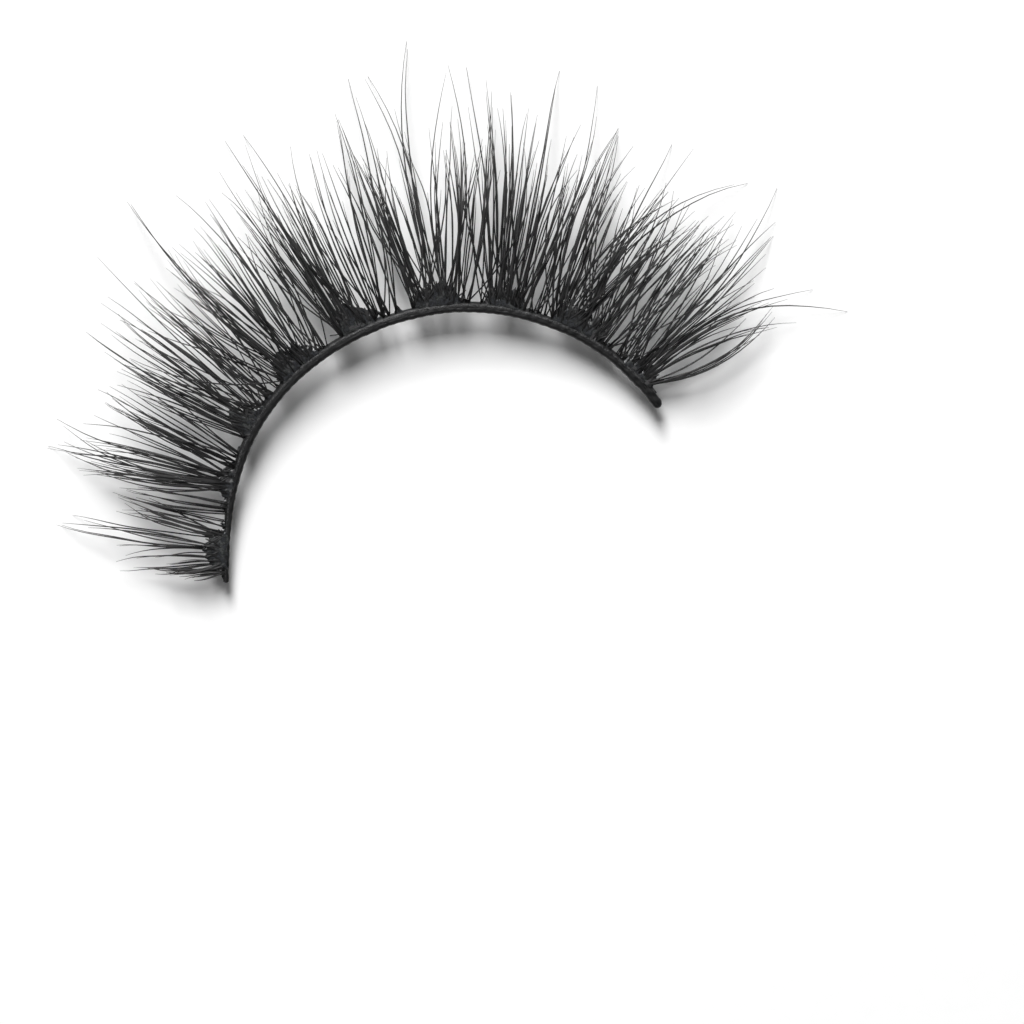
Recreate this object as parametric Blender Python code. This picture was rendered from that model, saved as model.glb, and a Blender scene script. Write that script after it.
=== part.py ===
"""False eyelash strip lying on its hair tips, band raised, in metres with +Z up.

X runs along the band's chord from the inner end to the outer tab and Y runs out
towards the hair. Places on the strip are given as a share of the band's length,
and a reach out from the band's centre line.
"""

import math
from collections import namedtuple

import bmesh
import bpy

MM = 0.001

# Band: a coated cord bent to the lid.
BAND_LENGTH = 34.0 * MM
BAND_SWEEP = math.radians(150.0)
BAND_WIDTH = 0.58 * MM
BAND_HEIGHT = 0.46 * MM
BAND_TOP_SHARE = 0.62
BAND_SIDE_SHARE = 0.55
BAND_STEPS = 40
INNER_LIFT = 1.45 * MM
OUTER_LIFT = 1.70 * MM
CROWN_RISE = 1.15 * MM

# Hair: one curl for the whole strip, opened where a long lock meets the floor.
HAIR_REACH = 14.5 * MM
CURL_RADIUS = 12.0 * MM
LOCK_WIDTH = 0.0135 * BAND_LENGTH
LAYER_ANGLES = (math.radians(0.0), math.radians(5.0), math.radians(-4.0))
LOCK_FLATNESS = 0.42
LOCK_TOP_SHARE = 0.5
ROOT_INSET = 0.40 * MM
TIP_CLEARANCE = 0.02 * MM

# Glue: webs under the clusters and feet under the fillers.
WEB_GAP = 0.06 * MM
WEB_DEPTH = 1.40 * MM
WEB_THICKNESS = 0.34 * MM
WEB_TOP_SHARE = 0.6
WEB_EDGE_SHARE = 0.5
WEB_STEPS = 8
FOOT_DEPTH = 0.55 * MM
FOOT_THICKNESS = 0.30 * MM
FOOT_STEPS = 4
FOOT_MARGIN = 0.005

HAIR_COLOR = (0.022, 0.022, 0.023, 1.0)
BAND_COLOR = (0.016, 0.016, 0.017, 1.0)

Bend = namedtuple("Bend", "share heading")
Size = namedtuple("Size", "share factor")
Angle = namedtuple("Angle", "share degrees")
Lock = namedtuple("Lock", "root tip reach width bow", defaults=(0.0,))
Web = namedtuple("Web", "start end depth")

# Heading of the band as a share of its whole sweep.
BAND_BEND = (
    Bend(0.00, 0.452),
    Bend(0.10, 0.418),
    Bend(0.20, 0.318),
    Bend(0.30, 0.195),
    Bend(0.40, 0.090),
    Bend(0.50, 0.000),
    Bend(0.60, -0.094),
    Bend(0.70, -0.205),
    Bend(0.80, -0.298),
    Bend(0.90, -0.405),
    Bend(1.00, -0.520),
)

# Thickness of the band against its nominal size.
BAND_SIZES = (
    Size(0.00, 0.50),
    Size(0.06, 0.56),
    Size(0.12, 0.76),
    Size(0.20, 0.94),
    Size(0.50, 1.00),
    Size(0.90, 0.94),
    Size(0.95, 1.04),
    Size(1.00, 1.12),
)

# Angle at which the hair leaves the band, lower at both ends so that its tips land.
ROOT_ANGLES = (
    Angle(0.00, 12.0),
    Angle(0.30, 22.0),
    Angle(0.72, 22.0),
    Angle(1.00, 15.0),
)

# Width of a lock from its root to its tip, against its own width.
LOCK_SIZES = (
    Size(0.00, 1.06),
    Size(0.14, 1.04),
    Size(0.34, 1.00),
    Size(0.56, 0.88),
    Size(0.78, 0.60),
    Size(1.00, 0.20),
)

# Depth of a web from one end of it to the other.
WEB_SIZES = (
    Size(0.00, 0.40),
    Size(0.12, 0.78),
    Size(0.30, 0.96),
    Size(0.50, 1.00),
    Size(0.70, 0.96),
    Size(0.88, 0.78),
    Size(1.00, 0.40),
)

CLUSTER_WEBS = {
    "cluster_01": Web(0.028, 0.079, 0.82),
    "cluster_02": Web(0.141, 0.185, 0.75),
    "cluster_03": Web(0.227, 0.285, 1.00),
    "cluster_04": Web(0.334, 0.396, 0.96),
    "cluster_05": Web(0.442, 0.499, 1.00),
    "cluster_06": Web(0.571, 0.640, 0.86),
    "cluster_07": Web(0.683, 0.743, 0.82),
    "cluster_08": Web(0.785, 0.874, 0.82),
    "cluster_09": Web(0.911, 0.970, 0.86),
}

LOCKS = {
    "cluster_01": (
        Lock(0.031, 0.006, 0.207, 0.74),
        Lock(0.035, 0.019, 0.386, 0.74),
        Lock(0.041, 0.031, 0.407, 0.78),
        Lock(0.047, 0.042, 0.366, 0.78),
        Lock(0.052, 0.053, 0.400, 0.78),
        Lock(0.058, 0.077, 0.628, 0.96),
        Lock(0.064, 0.088, 0.572, 0.83),
        Lock(0.070, 0.099, 0.414, 0.83),
        Lock(0.075, 0.110, 0.441, 0.83),
    ),
    "filler_01": (
        Lock(0.104, 0.119, 0.421, 0.57),
        Lock(0.113, 0.125, 0.407, 0.57),
        Lock(0.122, 0.130, 0.372, 0.57),
    ),
    "cluster_02": (
        Lock(0.145, 0.136, 0.566, 0.78),
        Lock(0.150, 0.143, 0.545, 0.91),
        Lock(0.156, 0.150, 0.586, 0.96),
        Lock(0.162, 0.159, 0.683, 0.96),
        Lock(0.168, 0.168, 0.607, 0.91),
        Lock(0.174, 0.176, 0.676, 0.83),
        Lock(0.180, 0.189, 0.531, 0.70),
    ),
    "filler_02": (
        Lock(0.196, 0.203, 0.524, 0.61),
        Lock(0.204, 0.212, 0.566, 0.61),
        Lock(0.212, 0.220, 0.559, 0.61),
    ),
    "cluster_03": (
        Lock(0.230, 0.230, 0.538, 0.83),
        Lock(0.237, 0.237, 0.552, 0.91),
        Lock(0.244, 0.245, 0.593, 0.96),
        Lock(0.250, 0.253, 0.697, 0.91),
        Lock(0.256, 0.262, 0.676, 0.91),
        Lock(0.262, 0.270, 0.634, 0.91),
        Lock(0.268, 0.279, 0.828, 0.91),
        Lock(0.274, 0.287, 0.717, 0.87),
        Lock(0.281, 0.295, 0.841, 0.83),
    ),
    "filler_03": (
        Lock(0.298, 0.305, 0.662, 0.61),
        Lock(0.307, 0.313, 0.676, 0.61),
        Lock(0.316, 0.321, 0.593, 0.61),
    ),
    "cluster_04": (
        Lock(0.338, 0.329, 0.559, 0.78),
        Lock(0.344, 0.336, 0.607, 0.87),
        Lock(0.350, 0.344, 0.703, 0.91),
        Lock(0.356, 0.352, 0.869, 0.96),
        Lock(0.362, 0.360, 0.676, 0.96),
        Lock(0.368, 0.368, 0.648, 0.96),
        Lock(0.374, 0.377, 0.752, 0.91),
        Lock(0.380, 0.386, 0.648, 0.87),
        Lock(0.386, 0.394, 0.676, 0.83),
        Lock(0.392, 0.401, 0.607, 0.74),
    ),
    "filler_04": (
        Lock(0.405, 0.410, 0.579, 0.61),
        Lock(0.414, 0.417, 0.634, 0.61),
        Lock(0.423, 0.424, 0.662, 0.61),
    ),
    "cluster_05": (
        Lock(0.445, 0.432, 0.607, 0.87),
        Lock(0.451, 0.439, 0.745, 0.96),
        Lock(0.457, 0.446, 0.841, 1.00),
        Lock(0.463, 0.454, 0.690, 1.00),
        Lock(0.469, 0.462, 0.841, 1.00),
        Lock(0.475, 0.470, 0.703, 1.00),
        Lock(0.481, 0.478, 0.648, 0.96),
        Lock(0.488, 0.487, 0.593, 0.87),
        Lock(0.495, 0.495, 0.717, 0.78),
    ),
    "filler_05": (
        Lock(0.510, 0.508, 0.648, 0.61),
        Lock(0.520, 0.517, 0.683, 0.65),
        Lock(0.530, 0.529, 0.614, 0.65),
        Lock(0.540, 0.540, 0.772, 0.70),
    ),
    "cluster_06": (
        Lock(0.574, 0.550, 0.724, 0.91),
        Lock(0.580, 0.559, 0.593, 0.91),
        Lock(0.587, 0.568, 0.724, 0.91),
        Lock(0.594, 0.578, 0.869, 0.91),
        Lock(0.601, 0.590, 0.745, 0.91),
        Lock(0.608, 0.602, 0.648, 0.91),
        Lock(0.615, 0.613, 0.979, 0.91),
        Lock(0.622, 0.625, 1.000, 0.91),
        Lock(0.629, 0.636, 0.876, 0.87),
        Lock(0.636, 0.645, 0.662, 0.78),
    ),
    "filler_06": (
        Lock(0.650, 0.652, 0.552, 0.57),
        Lock(0.658, 0.658, 0.662, 0.57),
        Lock(0.666, 0.664, 0.593, 0.57),
    ),
    "cluster_07": (
        Lock(0.686, 0.673, 0.814, 0.87),
        Lock(0.692, 0.680, 0.800, 0.96),
        Lock(0.698, 0.687, 0.662, 0.96),
        Lock(0.704, 0.695, 0.621, 0.96),
        Lock(0.710, 0.703, 0.731, 0.96),
        Lock(0.716, 0.712, 0.917, 0.96),
        Lock(0.722, 0.720, 0.855, 0.91),
        Lock(0.728, 0.729, 0.703, 0.87),
        Lock(0.734, 0.739, 0.717, 0.83),
        Lock(0.740, 0.750, 0.855, 0.78),
    ),
    "filler_07": (
        Lock(0.756, 0.761, 0.662, 0.57),
        Lock(0.764, 0.768, 0.621, 0.57),
        Lock(0.772, 0.776, 0.634, 0.57),
    ),
    "cluster_08": (
        Lock(0.788, 0.783, 0.690, 0.83),
        Lock(0.795, 0.790, 0.807, 0.96),
        Lock(0.803, 0.799, 0.703, 0.91),
        Lock(0.811, 0.809, 0.662, 0.91),
        Lock(0.819, 0.819, 0.862, 0.91),
        Lock(0.827, 0.830, 0.745, 0.91),
        Lock(0.835, 0.842, 0.841, 0.91),
        Lock(0.844, 0.854, 0.814, 0.91),
        Lock(0.853, 0.864, 0.662, 0.91),
        Lock(0.862, 0.874, 0.634, 0.87),
        Lock(0.870, 0.883, 0.676, 0.78),
    ),
    "filler_08": (
        Lock(0.885, 0.892, 0.593, 0.57),
        Lock(0.893, 0.898, 0.648, 0.57),
        Lock(0.900, 0.904, 0.607, 0.57),
    ),
    "cluster_09": (
        Lock(0.914, 0.914, 0.676, 0.83),
        Lock(0.920, 0.922, 0.862, 0.91),
        Lock(0.926, 0.931, 0.731, 0.91),
        Lock(0.932, 0.940, 0.759, 0.91),
        Lock(0.938, 0.951, 0.828, 0.91),
        Lock(0.944, 0.963, 0.662, 0.87),
        Lock(0.950, 0.975, 0.662, 0.87),
        Lock(0.955, 0.990, 0.703, 0.83),
        Lock(0.960, 1.004, 0.566, 0.83),
        Lock(0.965, 1.018, 0.786, 0.83, -0.06),
    ),
}


def at(table, share):
    """Value of a table at a share, straight between its rows."""
    low = table[0]
    for high in table[1:]:
        if share <= high[0]:
            part = (share - low[0]) / (high[0] - low[0])
            return low[1] + (high[1] - low[1]) * max(part, 0.0)
        low = high
    return low[1]


def band_heading(share):
    return BAND_SWEEP * at(BAND_BEND, share)


def band_line(steps):
    """Centre line of the band in plan, one point for each step of its length."""
    x = 0.0
    y = 0.0
    line = [(x, y)]
    for step in range(steps):
        heading = band_heading((step + 0.5) / steps)
        x += BAND_LENGTH / steps * math.cos(heading)
        y += BAND_LENGTH / steps * math.sin(heading)
        line.append((x, y))
    return line


BAND_LINE = band_line(400)


def chart(share, reach):
    """Place in plan of a share along the band and a reach out from it."""
    held = min(max(share, 0.0), 1.0)
    place = held * (len(BAND_LINE) - 1)
    index = min(int(place), len(BAND_LINE) - 2)
    part = place - index
    before = BAND_LINE[index]
    after = BAND_LINE[index + 1]
    x = before[0] + (after[0] - before[0]) * part
    y = before[1] + (after[1] - before[1]) * part
    heading = band_heading(held)
    past = (share - held) * BAND_LENGTH
    x += past * math.cos(heading) - reach * math.sin(heading)
    y += past * math.sin(heading) + reach * math.cos(heading)
    return x, y


def band_height(share):
    """Height of the band's centre line over the floor."""
    held = min(max(share, 0.0), 1.0)
    rise = CROWN_RISE * math.sin(math.pi * held)
    return INNER_LIFT + (OUTER_LIFT - INNER_LIFT) * held + rise


def root_angle(share):
    return math.radians(at(ROOT_ANGLES, share))


def band_size(share):
    return at(BAND_SIZES, share)


def outer_face(share):
    """Reach of the band's outer face."""
    return band_size(share) * BAND_WIDTH / 2


def lock_line(lock, angle):
    """Points of a lock from its root in the glue to its tip."""
    start = chart(lock.root, outer_face(lock.root) + WEB_GAP + ROOT_INSET)
    end = chart(lock.tip, lock.reach * HAIR_REACH)
    run = math.dist(start, end)
    side = ((start[1] - end[1]) / run, (end[0] - start[0]) / run)
    base = band_height(lock.root) + ROOT_INSET * math.tan(angle)
    drop = base - TIP_CLEARANCE
    chord_angle = math.atan2(-drop, run)
    floor_radius = math.hypot(run, drop) / (2 * math.sin(angle - chord_angle))
    radius = max(CURL_RADIUS, floor_radius)
    line = []
    for row in LOCK_SIZES:
        along = run * row.share
        out = along - radius * math.sin(angle)
        z = base + math.sqrt(radius**2 - out**2) - radius * math.cos(angle)
        bow = 4 * row.share * (1 - row.share) * lock.bow * run
        x = start[0] + (end[0] - start[0]) * row.share + side[0] * bow
        y = start[1] + (end[1] - start[1]) * row.share + side[1] * bow
        line.append((x, y, z, row.factor))
    return line


def glue_line(start, end, depth, steps, sizes):
    """Points of a web along the band, its inner edge held just off the band."""
    line = []
    for step in range(steps + 1):
        part = step / steps
        share = start + (end - start) * part
        factor = at(sizes, part)
        reach = outer_face(share) + WEB_GAP + factor * depth / 2
        x, y = chart(share, reach)
        rise = (factor * depth / 2) * math.tan(root_angle(share))
        line.append((x, y, band_height(share) + rise, factor))
    return line


def end_size(distance, radius):
    """Rounds an end off over its last stretch."""
    if distance >= radius:
        return 1.0
    return math.sqrt(max(1.0 - (1.0 - distance / radius) ** 2, 0.12))


def band_points():
    """Points of the band, closer together where its two ends are rounded."""
    inner_radius = band_size(0.0) * BAND_WIDTH / 2
    outer_radius = band_size(1.0) * BAND_WIDTH / 2
    places = [0.0, 0.2 * inner_radius, 0.55 * inner_radius, inner_radius]
    step = BAND_LENGTH / BAND_STEPS
    places += [step * n for n in range(1, BAND_STEPS)]
    for part in (1.0, 0.55, 0.2, 0.0):
        places.append(BAND_LENGTH - part * outer_radius)
    line = []
    for place in places:
        share = place / BAND_LENGTH
        x, y = chart(share, 0.0)
        factor = band_size(share) * end_size(place, inner_radius)
        factor *= end_size(BAND_LENGTH - place, outer_radius)
        line.append((x, y, band_height(share), factor))
    return line


def make_collection(name):
    collection = bpy.data.collections.new(name)
    bpy.context.scene.collection.children.link(collection)
    return collection


def make_material(name, color, roughness):
    material = bpy.data.materials.new(name)
    material.use_nodes = True
    shader = material.node_tree.nodes["Principled BSDF"]
    shader.inputs["Base Color"].default_value = color
    shader.inputs["Roughness"].default_value = roughness
    return material


def beveled_outline(top, side, flatness):
    """Eight-sided outline, its top and its sides given as shares of their whole length."""
    half = [(1.0, -side), (1.0, side), (top, 1.0), (-top, 1.0)]
    corners = half + [(-x, -y) for x, y in half]
    return [(x, y * flatness) for x, y in corners]


def pointed_outline(top, flatness):
    """Six-sided outline with an edge on each side."""
    half = [(1.0, 0.0), (top, flatness), (-top, flatness)]
    return half + [(-x, -y) for x, y in half]


def make_profile(name, outline, guides):
    """Closed flat outline that a curve is swept with."""
    data = bpy.data.curves.new(name, "CURVE")
    data.dimensions = "2D"
    data.fill_mode = "NONE"
    spline = data.splines.new("POLY")
    spline.points.add(len(outline) - 1)
    for point, (x, y) in zip(spline.points, outline):
        point.co = (x, y, 0.0, 1.0)
    spline.use_cyclic_u = True
    profile = bpy.data.objects.new(name, data)
    profile.hide_render = True
    guides.objects.link(profile)
    return profile


def swept_mesh(name, lines, profile, scale, tilt=0.0):
    """Mesh of one capped tube for each line, its caps joined to its sides."""
    data = bpy.data.curves.new(name, "CURVE")
    data.dimensions = "3D"
    data.twist_mode = "Z_UP"
    data.bevel_mode = "OBJECT"
    data.bevel_object = profile
    data.use_fill_caps = True
    for line in lines:
        spline = data.splines.new("POLY")
        spline.points.add(len(line) - 1)
        for point, (x, y, z, factor) in zip(spline.points, line):
            point.co = (x, y, z, 1.0)
            point.radius = factor * scale
            point.tilt = tilt
    curve = bpy.data.objects.new(name, data)
    bpy.context.scene.collection.objects.link(curve)
    bpy.context.view_layer.update()
    graph = bpy.context.evaluated_depsgraph_get()
    mesh = bpy.data.meshes.new_from_object(curve.evaluated_get(graph))
    mesh.name = name
    bpy.data.objects.remove(curve)
    bpy.data.curves.remove(data)
    shell = bmesh.new()
    shell.from_mesh(mesh)
    bmesh.ops.remove_doubles(shell, verts=shell.verts, dist=1e-7)
    bmesh.ops.recalc_face_normals(shell, faces=shell.faces)
    shell.to_mesh(mesh)
    shell.free()
    return mesh


def place_mesh(name, mesh, material, collection):
    mesh.materials.clear()
    mesh.materials.append(material)
    placed = bpy.data.objects.new(name, mesh)
    collection.objects.link(placed)
    return placed


def fuse_locks(body, meshes, material, guides):
    """Joins the locks to the glue that holds them, into one mesh."""
    held = bpy.data.collections.new(f"{body.name}_locks")
    guides.children.link(held)
    locks = []
    for index, mesh in enumerate(meshes):
        lock = place_mesh(f"{body.name}_lock_{index + 1}", mesh, material, held)
        lock.hide_render = True
        lock.display_type = "WIRE"
        locks.append(lock)
    joined = body.modifiers.new("join_locks", "BOOLEAN")
    joined.operation = "UNION"
    joined.solver = "EXACT"
    joined.operand_type = "COLLECTION"
    joined.collection = held
    bpy.context.view_layer.update()
    graph = bpy.context.evaluated_depsgraph_get()
    fused = bpy.data.meshes.new_from_object(body.evaluated_get(graph))
    fused.name = body.name
    body.modifiers.clear()
    body.data = fused
    for lock in locks:
        bpy.data.objects.remove(lock)
    bpy.data.collections.remove(held)


def rest_on_floor(nodes):
    """Moves the strip so that it touches the floor, centred over the origin."""
    bpy.context.view_layer.update()
    graph = bpy.context.evaluated_depsgraph_get()
    low = [math.inf] * 3
    high = [-math.inf] * 3
    for node in nodes:
        for vertex in node.evaluated_get(graph).data.vertices:
            for axis in range(3):
                low[axis] = min(low[axis], vertex.co[axis])
                high[axis] = max(high[axis], vertex.co[axis])
    shift = (-(low[0] + high[0]) / 2, -(low[1] + high[1]) / 2, -low[2])
    for thing in bpy.data.objects:
        thing.location = shift
    print("shift to the middle of the box, mm:", [round(s / MM, 4) for s in shift])


def main():
    for thing in list(bpy.data.objects):
        bpy.data.objects.remove(thing)
    strip = make_collection("eyelash_strip")
    guides = make_collection("guides")
    guides.hide_render = True
    fibre = make_material("black_fibre", HAIR_COLOR, 0.45)
    cord = make_material("band_cord", BAND_COLOR, 0.35)

    flatness = BAND_HEIGHT / BAND_WIDTH
    outline = beveled_outline(BAND_TOP_SHARE, BAND_SIDE_SHARE, flatness)
    band_profile = make_profile("band_profile", outline, guides)
    outline = pointed_outline(LOCK_TOP_SHARE, LOCK_FLATNESS)
    lock_profile = make_profile("lock_profile", outline, guides)
    outline = beveled_outline(WEB_TOP_SHARE, WEB_EDGE_SHARE, 1.0)
    glue_profile = make_profile("glue_profile", outline, guides)

    nodes = []
    mesh = swept_mesh("band", [band_points()], band_profile, BAND_WIDTH / 2)
    nodes.append(place_mesh("band", mesh, cord, strip))

    for name, locks in LOCKS.items():
        if name in CLUSTER_WEBS:
            web = CLUSTER_WEBS[name]
            depth = web.depth * WEB_DEPTH
            thickness = WEB_THICKNESS
            line = glue_line(web.start, web.end, depth, WEB_STEPS, WEB_SIZES)
        else:
            start = locks[0].root - FOOT_MARGIN
            end = locks[-1].root + FOOT_MARGIN
            depth = FOOT_DEPTH
            thickness = FOOT_THICKNESS
            line = glue_line(start, end, depth, FOOT_STEPS, WEB_SIZES)
        middle = (locks[0].root + locks[-1].root) / 2
        glue_profile.scale = (1.0, thickness / depth, 1.0)
        mesh = swept_mesh(name, [line], glue_profile, depth / 2, root_angle(middle))
        body = place_mesh(name, mesh, fibre, strip)
        meshes = []
        for index, lock in enumerate(locks):
            angle = root_angle(lock.root) + LAYER_ANGLES[index % len(LAYER_ANGLES)]
            line = lock_line(lock, angle)
            scale = lock.width * LOCK_WIDTH / 2
            meshes.append(swept_mesh(f"{name}_{index}", [line], lock_profile, scale))
        fuse_locks(body, meshes, fibre, guides)
        nodes.append(body)

    rest_on_floor(nodes)


main()
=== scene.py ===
import math

import bpy
import numpy as np
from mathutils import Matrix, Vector


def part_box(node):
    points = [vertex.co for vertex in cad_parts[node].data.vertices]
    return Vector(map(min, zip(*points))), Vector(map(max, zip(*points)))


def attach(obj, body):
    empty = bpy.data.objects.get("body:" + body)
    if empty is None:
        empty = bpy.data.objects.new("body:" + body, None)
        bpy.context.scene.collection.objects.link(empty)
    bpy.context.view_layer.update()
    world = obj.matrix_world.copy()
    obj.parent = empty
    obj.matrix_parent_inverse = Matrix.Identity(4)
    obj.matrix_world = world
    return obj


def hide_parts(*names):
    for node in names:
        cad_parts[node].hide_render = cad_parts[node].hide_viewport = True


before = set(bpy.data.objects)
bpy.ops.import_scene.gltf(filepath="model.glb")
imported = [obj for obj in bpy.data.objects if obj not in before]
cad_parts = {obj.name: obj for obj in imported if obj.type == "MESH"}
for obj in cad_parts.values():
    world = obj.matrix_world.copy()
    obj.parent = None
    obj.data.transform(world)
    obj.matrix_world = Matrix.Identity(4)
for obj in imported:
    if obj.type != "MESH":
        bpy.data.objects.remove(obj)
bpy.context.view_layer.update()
print("frame loaded,", len(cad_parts), "solids")

mm = 0.001

# The strip as the solids have it, in mm. Shares run along the band from its inner end.
strip = {
    "bandLength": 34.0,
    "sweepDeg": 150.0,
    "bendShare": (0.0, 0.1, 0.2, 0.3, 0.4, 0.5, 0.6, 0.7, 0.8, 0.9, 1.0),
    "bend": (0.452, 0.418, 0.318, 0.195, 0.09, 0.0, -0.094, -0.205, -0.298, -0.405, -0.52),
    "bandWidth": 0.58,
    "bandHeight": 0.46,
    "widthShare": (0.0, 0.06, 0.12, 0.2, 0.5, 0.9, 0.95, 1.0),
    "width": (0.5, 0.56, 0.76, 0.94, 1.0, 0.94, 1.04, 1.12),
    "innerLift": 1.45,
    "outerLift": 1.70,
    "crownRise": 1.15,
    "rootShare": (0.0, 0.3, 0.72, 1.0),
    "rootDeg": (12.0, 22.0, 22.0, 15.0),
    "curlRadius": 12.0,
    "boxCorner": (-0.0925, -0.0683, 1.3512),  # lowest corner of the band's box, from its inner end
}

lineSteps = 400
lineHeading = math.radians(strip["sweepDeg"]) * np.interp(
    (np.arange(lineSteps) + 0.5) / lineSteps, strip["bendShare"], strip["bend"])
linePoints = np.zeros((lineSteps + 1, 2))
linePoints[1:, 0] = np.cumsum(np.cos(lineHeading)) * strip["bandLength"] / lineSteps
linePoints[1:, 1] = np.cumsum(np.sin(lineHeading)) * strip["bandLength"] / lineSteps
stripOrigin = np.array(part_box("band")[0]) / mm - np.array(strip["boxCorner"])


def chart(share, reach):
    # place in plan, mm, of a share along the band and a reach out from its centre line
    share, reach = np.broadcast_arrays(np.asarray(share, float), np.asarray(reach, float))
    held = np.clip(share, 0.0, 1.0)
    grid = np.linspace(0.0, 1.0, lineSteps + 1)
    heading = math.radians(strip["sweepDeg"]) * np.interp(held, strip["bendShare"], strip["bend"])
    past = (share - held) * strip["bandLength"]
    x = np.interp(held, grid, linePoints[:, 0]) + past * np.cos(heading) - reach * np.sin(heading)
    y = np.interp(held, grid, linePoints[:, 1]) + past * np.sin(heading) + reach * np.cos(heading)
    return x, y


def bandHeightAt(share):
    held = np.clip(share, 0.0, 1.0)
    lift = strip["innerLift"] + (strip["outerLift"] - strip["innerLift"]) * held
    return lift + strip["crownRise"] * np.sin(math.pi * held)


def bandSizeAt(share):
    return np.interp(share, strip["widthShare"], strip["width"])


def outerFaceAt(share):
    return bandSizeAt(share) * strip["bandWidth"] / 2


def rootAngleAt(share):
    return np.radians(np.interp(share, strip["rootShare"], strip["rootDeg"]))


def toRow(points):
    # from mm round the band's inner end to metres in the row's frame
    return (np.asarray(points) + stripOrigin) * mm


def addPiece(name, node, points, faces, materials, faceMaterial=None, values=None):
    mesh = bpy.data.meshes.new(name)
    mesh.from_pydata(toRow(points).tolist(), [], faces)
    for material in materials:
        mesh.materials.append(material)
    if faceMaterial is not None:
        mesh.polygons.foreach_set("material_index", np.asarray(faceMaterial, np.int32))
    mesh.polygons.foreach_set("use_smooth", np.ones(len(mesh.polygons), bool))
    for key, value in (values or {}).items():
        flat = np.asarray(value, np.float32)
        kind = "FLOAT" if flat.ndim == 1 else "FLOAT_VECTOR"
        layer = mesh.attributes.new(key, kind, "POINT")
        layer.data.foreach_set("value" if flat.ndim == 1 else "vector", flat.ravel())
    mesh.validate()
    mesh.update()
    piece = bpy.data.objects.new(name, mesh)
    bpy.context.scene.collection.objects.link(piece)
    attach(piece, "root")
    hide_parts(node)
    return piece


# Materials

def startMaterial(name):
    material = bpy.data.materials.new(name)
    material.use_nodes = True
    nodes = material.node_tree.nodes
    return material, nodes, material.node_tree.links, nodes["Principled BSDF"]


def addNoise(nodes, links, vector, scale, detail=4.0, roughness=0.55):
    noise = nodes.new("ShaderNodeTexNoise")
    noise.inputs["Scale"].default_value = scale
    noise.inputs["Detail"].default_value = detail
    noise.inputs["Roughness"].default_value = roughness
    links.new(vector, noise.inputs["Vector"])
    return noise.outputs["Fac"]


def addRamp(nodes, links, value, stops):
    ramp = nodes.new("ShaderNodeValToRGB")
    elements = ramp.color_ramp.elements
    while len(elements) < len(stops):
        elements.new(0.5)
    for element, (place, color) in zip(elements, stops):
        element.position = place
        element.color = (*color, 1.0)
    links.new(value, ramp.inputs["Fac"])
    return ramp.outputs["Color"]


def addRange(nodes, links, value, low, high, lowOut, highOut):
    remap = nodes.new("ShaderNodeMapRange")
    limits = {"From Min": low, "From Max": high, "To Min": lowOut, "To Max": highOut}
    for key, number in limits.items():
        remap.inputs[key].default_value = number
    links.new(value, remap.inputs["Value"])
    return remap.outputs["Result"]


def addMix(nodes, links, factor, first, second, blend="MIX"):
    mix = nodes.new("ShaderNodeMix")
    mix.data_type = "RGBA"
    mix.blend_type = blend
    for socket, source in ((mix.inputs[0], factor), (mix.inputs[6], first), (mix.inputs[7], second)):
        if isinstance(source, bpy.types.NodeSocket):
            links.new(source, socket)
        else:
            socket.default_value = source
    return mix.outputs[2]


def addBump(nodes, links, height, strength, distance, normal=None):
    bump = nodes.new("ShaderNodeBump")
    bump.inputs["Strength"].default_value = strength
    bump.inputs["Distance"].default_value = distance
    links.new(height, bump.inputs["Height"])
    if normal is not None:
        links.new(normal, bump.inputs["Normal"])
    return bump.outputs["Normal"]


def addAttribute(nodes, name, output):
    attribute = nodes.new("ShaderNodeAttribute")
    attribute.attribute_name = name
    return attribute.outputs[output]


fibreLook = {
    "darkest": (0.008, 0.008, 0.0083),
    "lightest": (0.042, 0.0415, 0.042),
    "tipTint": (0.040, 0.037, 0.035),   # thin tips let a little light through
    "tipFrom": 0.55,                    # share of a hair's length where that tint starts
    "tipMost": 0.8,
    "mottleScale": 1400.0,              # 1/m
    "mottleDark": (0.55, 0.55, 0.56),   # times the fibre's own tone
    "mottleLight": (1.25, 1.25, 1.25),
    "grainScale": 11000.0,
    "roughest": 0.56,
    "smoothest": 0.40,
    "ior": 1.40,
    "grainDepth": 4e-6,
}


def makeFibre(look):
    material, nodes, links, shader = startMaterial("blackFibre")
    place = nodes.new("ShaderNodeTexCoord").outputs["Object"]
    tone = addAttribute(nodes, "fibreTone", "Fac")
    along = addAttribute(nodes, "fibreAlong", "Fac")
    color = addRamp(nodes, links, tone, ((0.0, look["darkest"]), (1.0, look["lightest"])))
    mottle = addNoise(nodes, links, place, look["mottleScale"])
    shade = addRamp(nodes, links, mottle, ((0.3, look["mottleDark"]), (0.7, look["mottleLight"])))
    color = addMix(nodes, links, 1.0, color, shade, "MULTIPLY")
    tips = addRange(nodes, links, along, look["tipFrom"], 1.0, 0.0, look["tipMost"])
    color = addMix(nodes, links, tips, color, (*look["tipTint"], 1.0))
    links.new(color, shader.inputs["Base Color"])
    grain = addNoise(nodes, links, place, look["grainScale"], 2.0)
    rough = addRange(nodes, links, grain, 0.3, 0.7, look["smoothest"], look["roughest"])
    links.new(rough, shader.inputs["Roughness"])
    shader.inputs["IOR"].default_value = look["ior"]
    links.new(addBump(nodes, links, grain, 0.5, look["grainDepth"]), shader.inputs["Normal"])
    return material


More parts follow.
